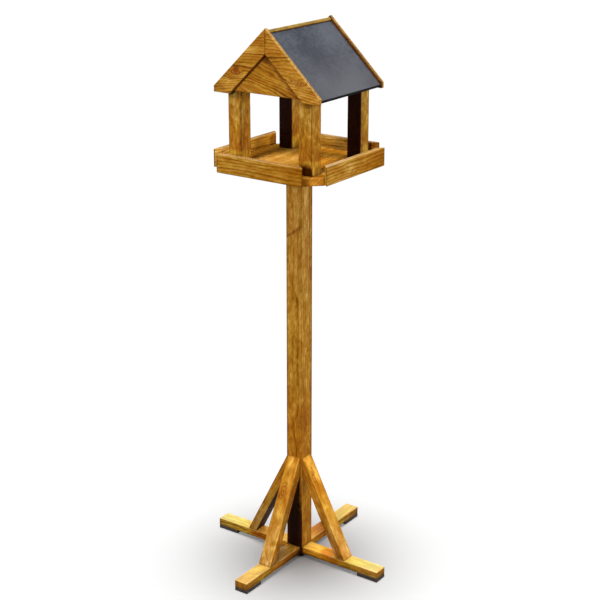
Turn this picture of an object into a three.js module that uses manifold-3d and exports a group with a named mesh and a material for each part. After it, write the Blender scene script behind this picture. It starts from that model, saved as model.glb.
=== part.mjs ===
// Bird table with a slate roof. A square pole stands on four braced feet and carries a rimmed tray whose
// corners are cut off and left open. Four posts on the tray carry two gables, two slates and the
// bargeboards that frame them.
// Units are millimetres, +Z is up, and the origin is on the ground under the pole's axis.
// The gables face -Y and +Y, and the slates fall towards -X and +X.

import * as THREE from 'three';
import { mergeVertices } from 'three/addons/utils/BufferGeometryUtils.js';
import Module from 'manifold-3d';

const wasm = await Module();
wasm.setup();

// Glue line between two pieces that meet, and play of a screw or nail in its hole
const fit = 0.3;
// A drill starts this far outside the face that it enters
const overrun = 5;

// Pole
const poleSide = 47;
const poleLength = 1057;

// Feet, with the pads under them and the braces on them
const footSpan = 520;
const footWidth = 38;
const footThickness = 19;
const padLength = 62;
const padThickness = 9.5;
const braceThickness = 23;
const braceReach = 134;
const braceRise = 263;

// Tray, with the socket under it that holds the head of the pole. The floor shows below the rims.
const floorSide = 304;
const floorThickness = 19;
const floorReveal = 3;
const cornerCut = 40;
const rimThickness = 15;
const rimHeight = 46;
const socketThickness = 18;
const socketHeight = 30;

// Posts, measured across their outer faces and up the low edge of their sloping top cut
const postSide = 38;
const postSpread = 245;
const postHeight = 203;

// Roof
const pitchDegrees = 44;
const roofSpan = 308.4;
const gableThickness = 6;
const gableEndHeight = 23;
const slateThickness = 4.5;
const slateSetback = 1;
const bargeThickness = 9;
const bargeWidth = 43.5;
const bargeUpstand = 7;
const bargeNip = 15;
const beadSide = 8;
const ridgeBattenWidth = 20;
const ridgeBattenHeight = 26;
const eavesRailThickness = 15;

// Screws and nails, all with a countersunk head
const postScrew = { radius: 2.25, headRadius: 4.2, length: 50 };
const footScrew = { radius: 2, headRadius: 3.8, length: 42 };
const headScrew = { radius: 2, headRadius: 3.8, length: 32 };
const gableScrew = { radius: 1.6, headRadius: 3, length: 24 };
const braceNail = { radius: 1.2, headRadius: 2.2, length: 28 };
const nailPlaceShare = 0.8;
const roundSides = 12;

// Angles and heights that follow from the sizes
const up = new THREE.Vector3(0, 0, 1);
const quarterTurn = Math.PI / 2;
const pitch = THREE.MathUtils.degToRad(pitchDegrees);
const poleReach = poleSide / 2;
const postReach = postSpread / 2;
const floorReach = floorSide / 2;
const roofReach = roofSpan / 2;
const standBase = padThickness + fit;
const footTop = standBase + footThickness;
const poleTop = standBase + poleLength;
const floorBase = poleTop + fit;
const postBase = floorBase + floorThickness + fit;

// The underside of the slates is a plane through the low edge of the posts' top cuts
const plumbFit = fit / Math.cos(pitch);
const slateAtPost = postBase + postHeight + plumbFit;
const gableBase = postBase + postHeight - gableEndHeight;
const gableFace = postReach + fit + gableThickness;
const roofDepth = 2 * gableFace;

// Plumb height of the slates' underside over a place this far out from the ridge
function underSlate(x) {
  return slateAtPost + (postReach - x) * Math.tan(pitch);
}

// Height of a piece that is planed to the pitch and lies under the slates
function planedTop(x) {
  return underSlate(x) - plumbFit;
}

// Finishes

function timber() {
  return new THREE.MeshStandardMaterial({ color: 0xb5782c, roughness: 0.55, metalness: 0 });
}

function paleTimber() {
  return new THREE.MeshStandardMaterial({ color: 0xd9b878, roughness: 0.65, metalness: 0 });
}

function slate() {
  return new THREE.MeshStandardMaterial({ color: 0x6c6e75, roughness: 0.7, metalness: 0 });
}

function rubber() {
  return new THREE.MeshStandardMaterial({ color: 0x2b2b2d, roughness: 0.8, metalness: 0 });
}

function steel() {
  return new THREE.MeshStandardMaterial({ color: 0x9a9a98, roughness: 0.35, metalness: 1 });
}

// Shapes

function shapeOf(outline) {
  return new THREE.Shape(outline.map(([x, y]) => new THREE.Vector2(x, y)));
}

// A board lying flat: its outline is in the XY plane and its thickness rises from zero
function flatBoard(outline, thickness) {
  return new THREE.ExtrudeGeometry(shapeOf(outline), { depth: thickness, bevelEnabled: false });
}

// A board standing up: its outline is in the XZ plane and its depth is centred along Y
function uprightBoard(outline, depth) {
  const geometry = flatBoard(outline, depth);
  geometry.translate(0, 0, -depth / 2);
  geometry.rotateX(quarterTurn);
  return geometry;
}

// A piece turned about +Z from a half section of [radius, height] points
function turnedPiece(section) {
  const points = section.map(([radius, height]) => new THREE.Vector2(radius, height));
  const geometry = new THREE.LatheGeometry(points, roundSides);
  geometry.rotateX(quarterTurn);
  return geometry;
}

// A countersunk screw or nail, with its head at zero and its point upwards
function fixingGeometry(size) {
  return turnedPiece([
    [0, 0],
    [size.headRadius, 0],
    [size.radius, size.headRadius - size.radius],
    [size.radius, size.length - 2 * size.radius],
    [0, size.length],
  ]);
}

// The hole that it needs, open past its head
function holeGeometry(size) {
  const radius = size.radius + fit;
  const headRadius = size.headRadius + fit;
  return turnedPiece([
    [0, -overrun],
    [headRadius, -overrun],
    [headRadius, 0],
    [radius, size.headRadius - size.radius],
    [radius, size.length - size.radius],
    [0, size.length + fit],
  ]);
}

// Solids for cutting

function toSolid(geometry) {
  const bare = geometry.clone();
  bare.deleteAttribute('normal');
  bare.deleteAttribute('uv');
  const merged = mergeVertices(bare);
  const index = merged.index.array;
  const corners = [];
  for (let i = 0; i < index.length; i += 3) {
    const [a, b, c] = index.slice(i, i + 3);
    if (a !== b && b !== c && c !== a) {
      corners.push(a, b, c);
    }
  }
  return new wasm.Manifold(new wasm.Mesh({
    numProp: 3,
    vertProperties: new Float32Array(merged.attributes.position.array),
    triVerts: new Uint32Array(corners),
  }));
}

function toGeometry(solid) {
  const mesh = solid.getMesh();
  const geometry = new THREE.BufferGeometry();
  geometry.setAttribute('position', new THREE.BufferAttribute(mesh.vertProperties, 3));
  geometry.setIndex(new THREE.BufferAttribute(mesh.triVerts, 1));
  geometry.computeVertexNormals();
  return geometry;
}

// The assembly, and the pieces and fixings in it

const table = new THREE.Group();

function addPiece(group, name, material, geometry, x, y, z) {
  const mesh = new THREE.Mesh(geometry, material);
  mesh.name = name;
  mesh.position.set(x, y, z);
  group.add(mesh);
  return mesh;
}

function addGroup(turn) {
  const group = new THREE.Group();
  group.rotation.z = turn;
  table.add(group);
  return group;
}

// A fixing is driven in from a point along a direction, both given for a group turned about Z
function addFixing(name, size, point, direction, turn) {
  const mesh = new THREE.Mesh(fixingGeometry(size), steel());
  mesh.name = name;
  mesh.position.copy(point).applyAxisAngle(up, turn);
  mesh.quaternion.setFromUnitVectors(up, direction.clone().applyAxisAngle(up, turn));
  table.add(mesh);
  mesh.updateWorldMatrix(true, false);
  return { size, place: mesh.matrixWorld };
}

function drill(mesh, fixings) {
  mesh.updateWorldMatrix(true, false);
  const toPiece = mesh.matrixWorld.clone().invert();
  let solid = toSolid(mesh.geometry);
  for (const { size, place } of fixings) {
    const hole = holeGeometry(size);
    hole.applyMatrix4(toPiece.clone().multiply(place));
    solid = solid.subtract(toSolid(hole));
  }
  mesh.geometry = toGeometry(solid);
}

const quarters = ['right', 'back', 'left', 'front'];

// Stand: four feet butt on the faces of the pole, and a brace ties each one to the pole.
// In an arm's own frame +X points outwards along the foot.

const footLength = footSpan / 2 - poleReach - fit;
const braceSlope = Math.atan2(braceRise, braceReach);
const braceFoot = braceThickness / Math.sin(braceSlope);
const braceHead = braceThickness / Math.cos(braceSlope);
const braceInner = poleReach + fit;
const braceBase = footTop + fit;
const alongBrace = new THREE.Vector3(-Math.cos(braceSlope), 0, Math.sin(braceSlope));
const intoBrace = new THREE.Vector3(-Math.sin(braceSlope), 0, -Math.cos(braceSlope));

// Level cut on the foot, plumb cut on the pole, and two sloping faces
function braceGeometry() {
  const outline = [
    [braceReach - braceFoot, 0],
    [braceReach, 0],
    [0, braceRise],
    [0, braceRise - braceHead],
  ];
  return uprightBoard(outline, footWidth);
}

// Up through the foot and along the middle of the brace, with its tilted head sunk into the foot
function addFootScrew(side, turn) {
  const middle = new THREE.Vector3(braceInner + braceReach - braceFoot / 2, 0, braceBase);
  const sunk = footScrew.headRadius * Math.cos(braceSlope) + fit;
  const depth = (braceBase - standBase - sunk) / Math.sin(braceSlope);
  const start = middle.addScaledVector(alongBrace, -depth);
  return addFixing(`foot_screw_${side}`, footScrew, start, alongBrace, turn);
}

// Square to the brace's outer face and through its plumb cut into the pole. The share is how far down the
// nail starts between the top of the outer face and the place square to the top of the inner face.
function addBraceNail(side, turn) {
  const fromTop = braceHead * Math.sin(braceSlope) * nailPlaceShare;
  const tip = new THREE.Vector3(braceInner, 0, braceBase + braceRise);
  const start = tip.addScaledVector(alongBrace, -fromTop);
  return addFixing(`brace_nail_${side}`, braceNail, start, intoBrace, turn);
}

function addArm(side, turn) {
  const arm = addGroup(turn);
  const footScrewHere = addFootScrew(side, turn);
  const braceNailHere = addBraceNail(side, turn);

  const footBox = new THREE.BoxGeometry(footLength, footWidth, footThickness);
  const footX = poleReach + fit + footLength / 2;
  const foot = addPiece(arm, `foot_${side}`, timber(), footBox, footX, 0, standBase + footThickness / 2);
  drill(foot, [footScrewHere]);

  const padBox = new THREE.BoxGeometry(padLength, footWidth, padThickness);
  addPiece(arm, `foot_pad_${side}`, rubber(), padBox, (footSpan - padLength) / 2, 0, padThickness / 2);

  const brace = addPiece(arm, `brace_${side}`, timber(), braceGeometry(), braceInner, 0, braceBase);
  drill(brace, [footScrewHere, braceNailHere]);
  return braceNailHere;
}

const braceNails = quarters.map((side, index) => addArm(side, index * quarterTurn));

// Socket: four battens round the head of the pole, each one lapping the end of the next.
// Screws through two of them hold the pole.

const socketInner = poleReach + fit;
const socketLength = 2 * socketInner + socketThickness - fit;
const socketMiddle = floorBase - fit - socketHeight / 2;

function addSocketBatten(side, turn) {
  const group = addGroup(turn);
  const box = new THREE.BoxGeometry(socketThickness, socketLength, socketHeight);
  const x = socketInner + socketThickness / 2;
  const y = (socketThickness + fit) / 2;
  return addPiece(group, `socket_batten_${side}`, timber(), box, x, y, socketMiddle);
}

function addHeadScrew(side, turn, batten) {
  const start = new THREE.Vector3(socketInner + socketThickness, 0, socketMiddle);
  const inwards = new THREE.Vector3(-1, 0, 0);
  const screw = addFixing(`head_screw_${side}`, headScrew, start, inwards, turn);
  drill(batten, [screw]);
  return screw;
}

const battens = quarters.map((side, index) => addSocketBatten(side, index * quarterTurn));
const screwed = ['right', 'left'].map((side) => quarters.indexOf(side));
const headScrews = screwed.map((index) => {
  return addHeadScrew(quarters[index], index * quarterTurn, battens[index]);
});

const poleBox = new THREE.BoxGeometry(poleSide, poleSide, poleLength);
const pole = addPiece(table, 'pole', timber(), poleBox, 0, 0, standBase + poleLength / 2);
drill(pole, [...braceNails, ...headScrews]);

// Tray: a square floor with its corners cut off, and four mitred rims planted on its edges.
// The rims stop where the cuts start, so the corners stay open for rain and for sweeping out.

const rimInnerHalf = floorReach - cornerCut;
const rimOuterHalf = rimInnerHalf + rimThickness;

function floorOutline() {
  const corner = [
    [floorReach, -rimInnerHalf],
    [floorReach, rimInnerHalf],
  ];
  const outline = [];
  for (let index = 0; index < quarters.length; index += 1) {
    for (const [x, y] of corner) {
      const point = new THREE.Vector2(x, y).rotateAround(new THREE.Vector2(), index * quarterTurn);
      outline.push([point.x, point.y]);
    }
  }
  return outline;
}

function addRim(side, turn) {
  const outline = [
    [0, -rimInnerHalf],
    [rimThickness, -rimOuterHalf],
    [rimThickness, rimOuterHalf],
    [0, rimInnerHalf],
  ];
  const rim = flatBoard(outline, rimHeight);
  const rimBase = floorBase + floorReveal;
  addPiece(addGroup(turn), `tray_rim_${side}`, timber(), rim, floorReach + fit, 0, rimBase);
}

quarters.forEach((side, index) => addRim(side, index * quarterTurn));
const floorBoard = flatBoard(floorOutline(), floorThickness);
const floor = addPiece(table, 'tray_floor', timber(), floorBoard, 0, 0, floorBase);

// Posts and roof: each side of the ridge is one group, in which the slate falls towards +X.
// Turned by half a turn, its front end is at the back.

const slopes = [
  { side: 'right', turn: 0, ends: [['front', -1], ['back', 1]] },
  { side: 'left', turn: Math.PI, ends: [['back', -1], ['front', 1]] },
];
const postMiddle = postReach - postSide / 2;

// A square post with its top cut to the pitch
function postGeometry() {
  const half = postSide / 2;
  const outline = [
    [-half, 0],
    [half, 0],
    [half, postHeight],
    [-half, postHeight + postSide * Math.tan(pitch)],
  ];
  return uprightBoard(outline, postSide);
}

// Up through the floor into the post
function addPostScrew(label, sign, turn) {
  const start = new THREE.Vector3(postMiddle, sign * postMiddle, floorBase);
  return addFixing(`post_screw_${label}`, postScrew, start, up, turn);
}

// Through the plumb end of the gable into the post, where the bargeboard covers its head
function addGableScrew(label, sign, turn) {
  const start = new THREE.Vector3(postMiddle, sign * gableFace, gableBase + gableEndHeight / 2);
  const inwards = new THREE.Vector3(0, -sign, 0);
  return addFixing(`gable_screw_${label}`, gableScrew, start, inwards, turn);
}

// A sloping board, mitred plumb at the ridge, with a plumb and a level cut at its low end.
// Its outline starts at the top of the mitre.
function bargeGeometry() {
  const slope = Math.tan(pitch);
  const plumbWidth = bargeWidth / Math.cos(pitch);
  const mitre = fit / 2;
  const levelCut = -roofReach * slope - bargeNip;
  const outline = [
    [mitre, -mitre * slope],
    [mitre, -mitre * slope - plumbWidth],
    [roofReach - (plumbWidth - bargeNip) / slope, levelCut],
    [roofReach, levelCut],
    [roofReach, -roofReach * slope],
  ];
  return uprightBoard(outline, bargeThickness);
}

// A plain slab between the bargeboards. Its upper end is cut square and meets the other slate at its
// lower corner, so the two ends form a groove along the ridge.
function addSlate(group, side) {
  const upperX = fit / 2;
  const run = roofReach - slateSetback - upperX - slateThickness * Math.sin(pitch);
  const length = run / Math.cos(pitch);
  const slab = new THREE.BoxGeometry(length, roofDepth, slateThickness);
  slab.translate(length / 2, 0, slateThickness / 2);
  const mesh = addPiece(group, `roof_slate_${side}`, slate(), slab, upperX, 0, underSlate(upperX));
  mesh.rotation.y = pitch;
}

// A rail between the front and back posts, under the low part of the slate
function addEavesRail(group, side) {
  const inner = postReach - eavesRailThickness;
  const outline = [
    [inner, gableBase],
    [postReach, gableBase],
    [postReach, planedTop(postReach)],
    [inner, planedTop(inner)],
  ];
  const rail = uprightBoard(outline, 2 * (postReach - postSide - fit));
  addPiece(group, `eaves_rail_${side}`, timber(), rail, 0, 0, 0);
}

const bargePeak = underSlate(0) + (slateThickness + bargeUpstand) / Math.cos(pitch);
const bargeMiddle = gableFace + fit + bargeThickness / 2;
const postScrews = [];
const gableScrews = { front: [], back: [] };

// The sign of an end is its side of the middle in its group
function addPost(group, side, turn, end, sign) {
  const label = `${side}_${end}`;
  const y = sign * postMiddle;
  const post = addPiece(group, `roof_post_${label}`, timber(), postGeometry(), postMiddle, y, postBase);
  const postScrewHere = addPostScrew(label, sign, turn);
  const gableScrewHere = addGableScrew(label, sign, turn);
  drill(post, [postScrewHere, gableScrewHere]);
  postScrews.push(postScrewHere);
  gableScrews[end].push(gableScrewHere);
}

function addBargeboard(group, side, end, sign) {
  const name = `bargeboard_${side}_${end}`;
  addPiece(group, name, timber(), bargeGeometry(), 0, sign * bargeMiddle, bargePeak);
}

for (const { side, turn, ends } of slopes) {
  const group = addGroup(turn);
  for (const [end, sign] of ends) {
    addPost(group, side, turn, end, sign);
    addBargeboard(group, side, end, sign);
  }
  addSlate(group, side);
  addEavesRail(group, side);
}

drill(floor, postScrews);

// Gables: one board across each pair of posts, under the ends of the slates

function gableGeometry() {
  const outline = [
    [-postReach, 0],
    [postReach, 0],
    [postReach, gableEndHeight],
    [0, gableEndHeight + postReach * Math.tan(pitch)],
    [-postReach, gableEndHeight],
  ];
  return uprightBoard(outline, gableThickness);
}

function addGable(end, sign) {
  const y = sign * (gableFace - gableThickness / 2);
  const gable = addPiece(table, `gable_${end}`, timber(), gableGeometry(), 0, y, gableBase);
  drill(gable, gableScrews[end]);
}

addGable('front', -1);
addGable('back', 1);

// Ridge: a batten from gable to gable carries the upper ends of the slates

function addRidgeBatten() {
  const half = ridgeBattenWidth / 2;
  const base = planedTop(0) - ridgeBattenHeight;
  const outline = [
    [-half, base],
    [half, base],
    [half, planedTop(half)],
    [0, planedTop(0)],
    [-half, planedTop(half)],
  ];
  addPiece(table, 'ridge_batten', timber(), uprightBoard(outline, 2 * postReach), 0, 0, 0);
}

// A square bead stands on its corner in the groove between the slates. It touches the upper corners of
// their ends on a shallow roof, and the lower ones on a steep roof.
function addRidgeBead() {
  const cornerX = [fit / 2, fit / 2 + slateThickness * Math.sin(pitch)];
  const cornerZ = [underSlate(fit / 2), underSlate(fit / 2) + slateThickness * Math.cos(pitch)];
  const seat = Math.max(cornerZ[0] - cornerX[0], cornerZ[1] - cornerX[1]) + fit * Math.SQRT2;
  const half = beadSide / Math.SQRT2;
  const outline = [
    [0, 0],
    [half, half],
    [0, 2 * half],
    [-half, half],
  ];
  addPiece(table, 'ridge_bead', paleTimber(), uprightBoard(outline, roofDepth), 0, 0, seat);
}

addRidgeBatten();
addRidgeBead();

export default table;
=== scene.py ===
# %% [markdown]
# # A bird table with a slate roof
#
# The table is a joiner's piece: a square pole on four braced feet, a rimmed tray with open corners, and a
# pitched slate roof on four short posts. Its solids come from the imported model, which this script loads
# as a fixed frame, in metres, with +Z up. The script adds what the eye sees: the arrises, the grain and
# stain of each board, the riven slates, the lamps, the floor and the camera.

# %% Load the frame
import math
import random

import bmesh
import bpy
from mathutils import Matrix, Vector


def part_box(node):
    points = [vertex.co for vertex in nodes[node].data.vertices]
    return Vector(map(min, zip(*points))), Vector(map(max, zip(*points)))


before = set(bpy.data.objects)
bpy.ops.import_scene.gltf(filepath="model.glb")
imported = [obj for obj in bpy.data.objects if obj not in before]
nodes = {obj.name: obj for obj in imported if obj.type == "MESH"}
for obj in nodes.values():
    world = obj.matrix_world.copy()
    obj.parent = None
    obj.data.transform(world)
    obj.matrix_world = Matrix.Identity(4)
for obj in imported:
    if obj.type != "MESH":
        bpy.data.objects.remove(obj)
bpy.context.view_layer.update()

scene = bpy.context.scene
MM = 0.001
print("frame:", len(nodes), "solids")

# %% [markdown]
# ## Camera
#
# The photograph looks down at the table from the right of its front gable. The camera turns round a point
# on the pole's axis by an azimuth and an elevation, which is easier to adjust than a bare location. A long
# lens a good way off keeps the upright lines nearly parallel, as they are in the photograph.

# %% Place the camera
AIM = Vector((0.0014, 0.0010, 0.7213))
CAMERA_AZIMUTH = math.radians(35.31)
CAMERA_ELEVATION = math.radians(19.24)
CAMERA_DISTANCE = 3.5934
CAMERA_LENS = 84.74


def towards(azimuth, elevation):
    """Unit vector from the table to a place at this azimuth, from the front towards the right, and height."""
    flat = math.cos(elevation)
    return Vector((flat * math.sin(azimuth), -flat * math.cos(azimuth), math.sin(elevation)))


def face(thing, target):
    """Turn a camera or lamp so that it looks at a target."""
    thing.rotation_euler = (target - thing.location).to_track_quat("-Z", "Y").to_euler()


camera = bpy.data.objects.new("camera", bpy.data.cameras.new("camera"))
scene.collection.objects.link(camera)
camera.location = AIM + CAMERA_DISTANCE * towards(CAMERA_AZIMUTH, CAMERA_ELEVATION)
camera.data.lens = CAMERA_LENS
face(camera, AIM)
scene.camera = camera
print("camera at", [round(v, 3) for v in camera.location])

# %% [markdown]
# ## Node tools
#
# Every finish below is a node tree. These few helpers add a node, set its values and link it, so that a
# tree reads as a list of steps. An effect that several finishes share becomes a node group with named
# sockets; the shader itself always stays in the material.

# %% Helpers that add nodes


def wire(tree, value, socket):
    """Feed a socket from another socket, or set it to a plain value."""
    if isinstance(value, bpy.types.NodeSocket):
        tree.links.new(value, socket)
    else:
        socket.default_value = value


def add(tree, kind, inputs=None, **settings):
    """Add a node, set its properties, and feed the inputs named in a dictionary."""
    node = tree.nodes.new("ShaderNode" + kind)
    for name, value in settings.items():
        setattr(node, name, value)
    for name, value in (inputs or {}).items():
        wire(tree, value, node.inputs[name])
    return node


def sums(tree, operation, *values):
    """A Math node on one, two or three values."""
    return add(tree, "Math", dict(enumerate(values)), operation=operation).outputs[0]


def vectors(tree, operation, *values):
    """A Vector Math node on one or two vectors."""
    node = add(tree, "VectorMath", dict(enumerate(values)), operation=operation)
    return node.outputs["Value" if operation in ("DOT_PRODUCT", "LENGTH") else "Vector"]


def coordinate(tree, vector, axis):
    """One coordinate of a vector."""
    return add(tree, "SeparateXYZ", {0: vector}).outputs[axis]


def frame_place(tree):
    """Place in the frame, in metres. The solids aren't moved, so their own axes are the frame's."""
    return add(tree, "TexCoord").outputs["Object"]


def face_normal(tree):
    """Direction that the surface faces."""
    return add(tree, "NewGeometry").outputs["Normal"]


def new_group(name, inputs, outputs):
    """An empty shader group with named sockets, and its two end nodes."""
    tree = bpy.data.node_groups.new(name, "ShaderNodeTree")
    for direction, sockets in (("INPUT", inputs), ("OUTPUT", outputs)):
        for label, kind in sockets.items():
            tree.interface.new_socket(label, in_out=direction, socket_type="NodeSocket" + kind)
    return tree, tree.nodes.new("NodeGroupInput"), tree.nodes.new("NodeGroupOutput")


def use_group(tree, group, inputs):
    """Put a shader group in a tree."""
    node = tree.nodes.new("ShaderNodeGroup")
    node.node_tree = group
    for name, value in inputs.items():
        wire(tree, value, node.inputs[name])
    return node


def new_material(name):
    """A material with an empty tree but for its Principled shader, and that tree."""
    material = bpy.data.materials.new(name)
    material.use_nodes = True
    return material, material.node_tree, material.node_tree.nodes["Principled BSDF"]


print("node helpers are ready")

# %% Helpers for noise, colour and relief


def smooth_step(tree, value, low, high, start=0.0, end=1.0):
    """A soft ramp from start to end as a value goes from low to high."""
    inputs = {"Value": value, "From Min": low, "From Max": high, "To Min": start, "To Max": end}
    return add(tree, "MapRange", inputs, interpolation_type="SMOOTHSTEP").outputs["Result"]


def stretch(tree, place, scale):
    """Scale a place by one number, or by one for each axis."""
    scales = scale if isinstance(scale, tuple) else (scale, scale, scale)
    return vectors(tree, "MULTIPLY", place, scales)


def cloud(tree, place, scale, detail=2.0, roughness=0.5):
    """Soft noise between zero and one. A low scale on one axis draws it out along that axis."""
    inputs = {"Vector": stretch(tree, place, scale), "Scale": 1.0, "Detail": detail, "Roughness": roughness}
    return add(tree, "TexNoise", inputs).outputs["Fac"]


def nudge(tree, value, effect, amount, middle=0.5):
    """Add an amount of an effect to a value. The effect changes nothing where it is at its middle."""
    centred = sums(tree, "SUBTRACT", effect, middle)
    return sums(tree, "MULTIPLY_ADD", centred, amount, value)


def rgb(red, green, blue):
    """A colour as a picture shows it, from 0 to 255, in the linear values that a shader takes."""
    channels = [value / 255 for value in (red, green, blue)]
    linear = [c / 12.92 if c <= 0.04045 else ((c + 0.055) / 1.055) ** 2.4 for c in channels]
    return (*linear, 1.0)


def blend(tree, share, first, second, mode="MIX"):
    """Mix two colours."""
    node = add(tree, "Mix", data_type="RGBA", blend_type=mode)
    wire(tree, share, node.inputs["Factor"])
    wire(tree, first, node.inputs[6])
    wire(tree, second, node.inputs[7])
    return node.outputs[2]


def paint_over(tree, effect, strength, colour, paint):
    """Paint over a colour where an effect shows, at a strength from zero to one."""
    return blend(tree, sums(tree, "MULTIPLY", effect, strength), colour, paint)


def tinted(tree, share, colour, tint):
    """Multiply a colour by a tint, which is one factor each for red, green and blue."""
    return blend(tree, share, colour, (*tint, 1.0), "MULTIPLY")


def colour_ramp(tree, value, stops):
    """Turn a value from zero to one into a colour, through a list of positions and colours."""
    ramp = add(tree, "ValToRGB", {0: value})
    elements = ramp.color_ramp.elements
    while len(elements) < len(stops):
        elements.new(0.5)
    for element, (position, colour) in zip(elements, stops):
        element.position = position
        element.color = colour
    return ramp.outputs["Color"]


def emboss(tree, shader, height, strength, depth):
    """Let a height tilt the shader's normal. A height of one stands for the depth, in metres."""
    relief = add(tree, "Bump", {"Height": height, "Strength": strength, "Distance": depth})
    wire(tree, relief.outputs["Normal"], shader.inputs["Normal"])


def coat(tree, shader, colour, roughness, specular=0.5):
    """Give the shader its colour, its roughness and its specular level."""
    wire(tree, colour, shader.inputs["Base Color"])
    wire(tree, roughness, shader.inputs["Roughness"])
    shader.inputs["Specular IOR Level"].default_value = specular


print("colour helpers are ready")

# %% [markdown]
# ## Growth rings
#
# Timber is a stack of cones round the heart of a trunk. If the rings are drawn as a solid texture, round
# an axis that lies beside the board, each face shows the right cut through them by itself: near straight
# lines on one face, arches on the next and arcs on the end grain. The place that comes in is measured from
# the heart, in metres, with X along the trunk. Soft noise bends the rings, and a knot lifts them locally,
# so that they close round it. Each ring has its own darkness.

# %% Growth rings group
SLOW_BEND = 50 * MM
QUICK_BEND = 7 * MM
TRUNK_TAPER = 0.012
PALEST_RING = 0.25

rings_group, inlet, outlet = new_group(
    "growth rings",
    {"Place": "Vector", "Ring Width": "Float", "Bend": "Float", "Lift": "Float"},
    {"Latewood": "Float", "Band": "Float"},
)
g = rings_group
place = inlet.outputs["Place"]
from_heart = vectors(g, "LENGTH", stretch(g, place, (0.0, 1.0, 1.0)))
slow_noise = cloud(g, place, (5.0, 17.0, 17.0), detail=1.5)
quick_noise = cloud(g, place, (22.0, 75.0, 75.0))
shift = nudge(g, nudge(g, 0.0, slow_noise, SLOW_BEND), quick_noise, QUICK_BEND)
shift = sums(g, "MULTIPLY", shift, inlet.outputs["Bend"])
bent = sums(g, "ADD", sums(g, "ADD", from_heart, shift), inlet.outputs["Lift"])
tapered = sums(g, "MULTIPLY_ADD", coordinate(g, place, "X"), TRUNK_TAPER, bent)
count = sums(g, "DIVIDE", tapered, inlet.outputs["Ring Width"])
phase = sums(g, "FRACT", count)
rise = smooth_step(g, phase, 0.30, 0.88)
drop = smooth_step(g, phase, 0.90, 1.0, 1.0, 0.0)
ring_noise = add(g, "TexWhiteNoise", {"W": sums(g, "FLOOR", count)}, noise_dimensions="1D").outputs["Value"]
darkness = sums(g, "MULTIPLY_ADD", ring_noise, 1.0 - PALEST_RING, PALEST_RING)
wire(g, sums(g, "MULTIPLY", sums(g, "MULTIPLY", rise, drop), darkness), outlet.inputs["Latewood"])
count_place = add(g, "CombineXYZ", {0: count}).outputs[0]
wire(g, cloud(g, count_place, (0.35, 1.0, 1.0), 1.0), outlet.inputs["Band"])
print("growth rings:", len(g.nodes), "nodes")

# %% [markdown]
# ## Knots
#
# A knot is a branch that the trunk grew round. Here it is a soft bump in the ring count, drawn out along
# the grain, with a dark core of its own small rings.

# %% Knot group
KNOT_SQUEEZE = 0.45
KNOT_REACH = 2.4
KNOT_LIFT = 1.9
KNOT_RINGS = 9.0

knot_group, inlet, outlet = new_group(
    "knot",
    {"Place": "Vector", "Centre": "Vector", "Size": "Float"},
    {"Lift": "Float", "Core": "Float"},
)
g = knot_group
offset = vectors(g, "SUBTRACT", inlet.outputs["Place"], inlet.outputs["Centre"])
distance = vectors(g, "LENGTH", stretch(g, offset, (KNOT_SQUEEZE, 1.0, 1.0)))
wobble = cloud(g, inlet.outputs["Place"], (60.0, 90.0, 90.0), 1.0)
reach = nudge(g, sums(g, "DIVIDE", distance, inlet.outputs["Size"]), wobble, 0.9)
bump = smooth_step(g, reach, 0.0, KNOT_REACH, 1.0, 0.0)
height = sums(g, "MULTIPLY", inlet.outputs["Size"], KNOT_LIFT)
wire(g, sums(g, "MULTIPLY", bump, height), outlet.inputs["Lift"])
core = smooth_step(g, reach, 0.70, 1.90, 1.0, 0.0)
core_rings = sums(g, "SINE", sums(g, "MULTIPLY", reach, KNOT_RINGS))
core_rings = sums(g, "MULTIPLY_ADD", core_rings, 0.45, 0.50)
wire(g, sums(g, "MULTIPLY", core, core_rings), outlet.inputs["Core"])
print("knot:", len(g.nodes), "nodes")

# %% [markdown]
# ## Fibres and stain clouds
#
# Between the rings the wood has fibres, hair-thin and long, and short dark pores. A brushed-on stain takes
# unevenly. It drifts in clouds as wide as two fingers, and in small flecks where the fibres rise and dip,
# which is what makes planed wood shimmer.

# %% Fibre group
fibre_group, inlet, outlet = new_group("fibres", {"Place": "Vector"}, {"Fibre": "Float", "Pore": "Float"})
g = fibre_group
place = inlet.outputs["Place"]
wire(g, cloud(g, place, (70.0, 520.0, 520.0), 3.0, 0.6), outlet.inputs["Fibre"])
dashes = cloud(g, place, (45.0, 1300.0, 1300.0))
wire(g, smooth_step(g, dashes, 0.60, 0.72), outlet.inputs["Pore"])
print("fibres:", len(g.nodes), "nodes")

# %% Stain cloud group
DRIFT = (30 * MM, 16 * MM, 16 * MM)
APART_FROM_CLOUDS = (3.1, 1.7, 0.6)
FIGURE_LEAN = 0.5

stain_group, inlet, outlet = new_group(
    "stain clouds",
    {"Place": "Vector"},
    {"Cloud": "Float", "Fleck": "Float", "Figure": "Float", "Warmth": "Float"},
)
g = stain_group
place = inlet.outputs["Place"]
wire(g, cloud(g, place, (13.0, 40.0, 40.0), 3.0), outlet.inputs["Cloud"])
swirl = add(g, "TexNoise", {"Vector": stretch(g, place, (30.0, 50.0, 50.0)), "Scale": 1.0, "Detail": 1.0})
drift = stretch(g, vectors(g, "SUBTRACT", swirl.outputs["Color"], (0.5, 0.5, 0.5)), DRIFT)
drifted = vectors(g, "ADD", place, drift)
wire(g, cloud(g, drifted, (55.0, 130.0, 130.0), 3.0, 0.6), outlet.inputs["Fleck"])
warm = cloud(g, vectors(g, "ADD", place, APART_FROM_CLOUDS), (18.0, 60.0, 60.0))
wire(g, smooth_step(g, warm, 0.35, 0.68), outlet.inputs["Warmth"])
leaning = add(g, "VectorRotate", {"Vector": drifted, "Angle": FIGURE_LEAN}, rotation_type="Z_AXIS").outputs[0]
wire(g, cloud(g, leaning, (30.0, 16.0, 16.0), 2.0, 0.6), outlet.inputs["Figure"])
print("stain clouds:", len(g.nodes), "nodes")

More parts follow.
